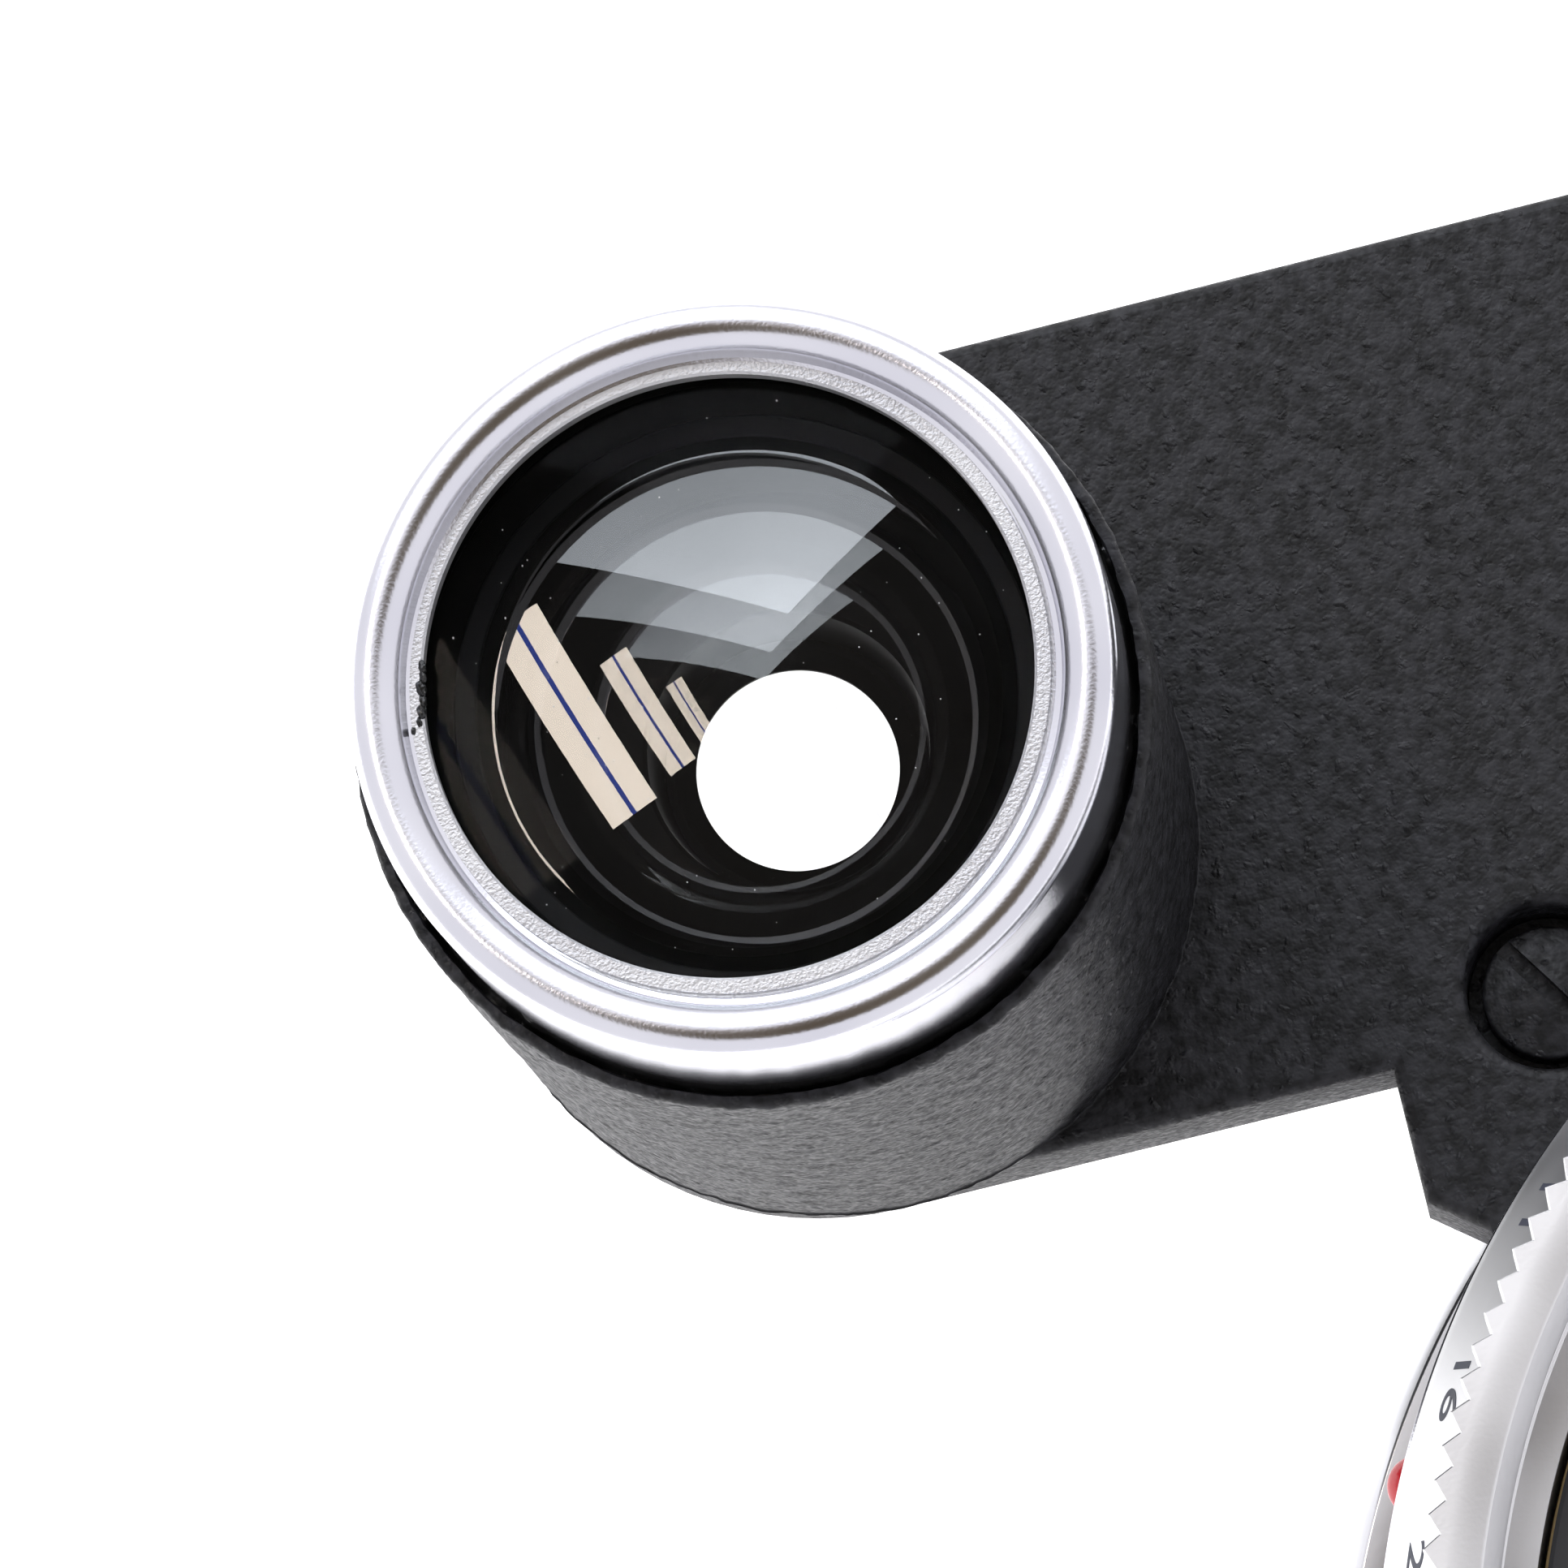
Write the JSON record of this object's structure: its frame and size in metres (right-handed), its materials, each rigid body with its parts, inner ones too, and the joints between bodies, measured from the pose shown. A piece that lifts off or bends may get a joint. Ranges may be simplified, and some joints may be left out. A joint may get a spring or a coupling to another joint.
{
  "type": "wide-angle camera lens with finder windows",
  "caption": "Wide-angle camera lens with a bayonet mount, focusing lever, iris and knurled aperture ring, and a black finder attachment with a round and a square window.",
  "frame": {"origin": "on the lens axis, in the plane of the mount flange's rear face", "axes": "+Z along the lens axis towards the subject, +Y from the lens towards the finder windows, +X from the round window towards the square window"},
  "size_m": [0.0909, 0.0649, 0.0386],
  "materials": {
    "crinkle_black": "black crinkle enamel",
    "satin_silver": "satin, fine blasted",
    "bright_chrome": "polished",
    "coated_glass": "polished, coated",
    "flat_black": "matt black",
    "brass": "turned",
    "steel": "turned",
    "red_bead": "glossy",
    "blade_black": "matt blued"
  },
  "bodies": {
    "mount": {"finder_plate": "crinkle_black", "rear_housing": "crinkle_black", "window_ring": "satin_silver", "rangefinder_front_lens": "coated_glass", "rangefinder_front_spacer": "flat_black", "rangefinder_inner_lens": "coated_glass", "rangefinder_spacer": "flat_black", "rangefinder_rear_lens": "coated_glass", "rangefinder_retainer": "flat_black", "rangefinder_baffle": "flat_black", "viewfinder_front_frame": "flat_black", "viewfinder_front_lens": "coated_glass", "viewfinder_light_box": "flat_black", "viewfinder_rear_lens": "coated_glass", "viewfinder_rear_frame": "flat_black", "bracket_screws": "crinkle_black", "housing_screws": "steel", "bridge_bracket": "satin_silver", "bridge_screws": "steel", "locating_pins": "steel", "bayonet_mount": "bright_chrome", "index_bead": "red_bead", "mount_screws": "steel", "mount_body": "satin_silver", "infinity_catch": "satin_silver", "guide_key": "brass"},
    "focus": {"focus_ring": "satin_silver", "focus_helicoid": "brass", "helicoid_screws": "steel", "focus_lever": "satin_silver", "lever_screws": "steel", "lock_spring": "steel"},
    "lock": {"lock_button": "bright_chrome"},
    "head": {"lens_carrier": "brass", "rangefinder_cam": "brass", "scale_ring": "satin_silver", "scale_screws": "steel", "click_ball": "steel", "click_spring": "steel", "iris_base": "flat_black", "front_bezel": "flat_black", "front_cell": "flat_black", "front_element": "coated_glass", "front_doublet": "coated_glass", "rear_doublet": "coated_glass", "rear_element": "coated_glass", "rear_cell": "flat_black"},
    "aperture": {"aperture_ring": "satin_silver", "aperture_link": "steel", "iris_drive_ring": "flat_black"},
    "blade_1": {"iris_blade_1": "blade_black"},
    "blade_2": {"iris_blade_2": "blade_black"},
    "blade_3": {"iris_blade_3": "blade_black"},
    "blade_4": {"iris_blade_4": "blade_black"},
    "blade_5": {"iris_blade_5": "blade_black"},
    "blade_6": {"iris_blade_6": "blade_black"},
    "blade_7": {"iris_blade_7": "blade_black"},
    "blade_8": {"iris_blade_8": "blade_black"},
    "blade_9": {"iris_blade_9": "blade_black"},
    "blade_10": {"iris_blade_10": "blade_black"}
  },
  "joints": [
    {"name": "focus_turn", "type": "hinge", "parent": "mount", "child": "focus", "pos_m": [0, 0, 0.011], "axis": [0, 0, 1], "range_deg": [0, 130]},
    {"name": "head_slide", "type": "slide", "parent": "mount", "child": "head", "axis": [0, 0, 1], "range_m": [0, 0.0021]},
    {"name": "aperture_turn", "type": "hinge", "parent": "head", "child": "aperture", "pos_m": [0, 0, 0.0235], "axis": [0, 0, -1], "range_deg": [0, 72]},
    {"name": "lock_press", "type": "slide", "parent": "focus", "child": "lock", "axis": [0, 0, 1], "range_m": [-0.0012, 0], "stiffness_N_per_m": 500, "springref_m": 0.0006, "deforming": ["lock_spring"]},
    {"name": "blade_1_turn", "type": "hinge", "parent": "head", "child": "blade_1", "pos_m": [0.0086, 0, 0.018], "axis": [0, 0, 1], "range_deg": [0, 34.5]},
    {"name": "blade_2_turn", "type": "hinge", "parent": "head", "child": "blade_2", "pos_m": [0.00696, 0.00505, 0.018], "axis": [0, 0, 1], "range_deg": [0, 34.5]},
    {"name": "blade_3_turn", "type": "hinge", "parent": "head", "child": "blade_3", "pos_m": [0.00266, 0.00818, 0.018], "axis": [0, 0, 1], "range_deg": [0, 34.5]},
    {"name": "blade_4_turn", "type": "hinge", "parent": "head", "child": "blade_4", "pos_m": [-0.00266, 0.00818, 0.018], "axis": [0, 0, 1], "range_deg": [0, 34.5]},
    {"name": "blade_5_turn", "type": "hinge", "parent": "head", "child": "blade_5", "pos_m": [-0.00696, 0.00505, 0.018], "axis": [0, 0, 1], "range_deg": [0, 34.5]},
    {"name": "blade_6_turn", "type": "hinge", "parent": "head", "child": "blade_6", "pos_m": [-0.0086, 0, 0.018], "axis": [0, 0, 1], "range_deg": [0, 34.5]},
    {"name": "blade_7_turn", "type": "hinge", "parent": "head", "child": "blade_7", "pos_m": [-0.00696, -0.00505, 0.018], "axis": [0, 0, 1], "range_deg": [0, 34.5]},
    {"name": "blade_8_turn", "type": "hinge", "parent": "head", "child": "blade_8", "pos_m": [-0.00266, -0.00818, 0.018], "axis": [0, 0, 1], "range_deg": [0, 34.5]},
    {"name": "blade_9_turn", "type": "hinge", "parent": "head", "child": "blade_9", "pos_m": [0.00266, -0.00818, 0.018], "axis": [0, 0, 1], "range_deg": [0, 34.5]},
    {"name": "blade_10_turn", "type": "hinge", "parent": "head", "child": "blade_10", "pos_m": [0.00696, -0.00505, 0.018], "axis": [0, 0, 1], "range_deg": [0, 34.5]}
  ],
  "couplings": [
    {"joint": "focus_turn", "follows": "head_slide", "rad_per_m": 1080.4},
    {"joint": "blade_1_turn", "follows": "aperture_turn", "ratio": 0.47222},
    {"joint": "blade_2_turn", "follows": "aperture_turn", "ratio": 0.47222},
    {"joint": "blade_3_turn", "follows": "aperture_turn", "ratio": 0.47222},
    {"joint": "blade_4_turn", "follows": "aperture_turn", "ratio": 0.47222},
    {"joint": "blade_5_turn", "follows": "aperture_turn", "ratio": 0.47222},
    {"joint": "blade_6_turn", "follows": "aperture_turn", "ratio": 0.47222},
    {"joint": "blade_7_turn", "follows": "aperture_turn", "ratio": 0.47222},
    {"joint": "blade_8_turn", "follows": "aperture_turn", "ratio": 0.47222},
    {"joint": "blade_9_turn", "follows": "aperture_turn", "ratio": 0.47222},
    {"joint": "blade_10_turn", "follows": "aperture_turn", "ratio": 0.47222}
  ]
}
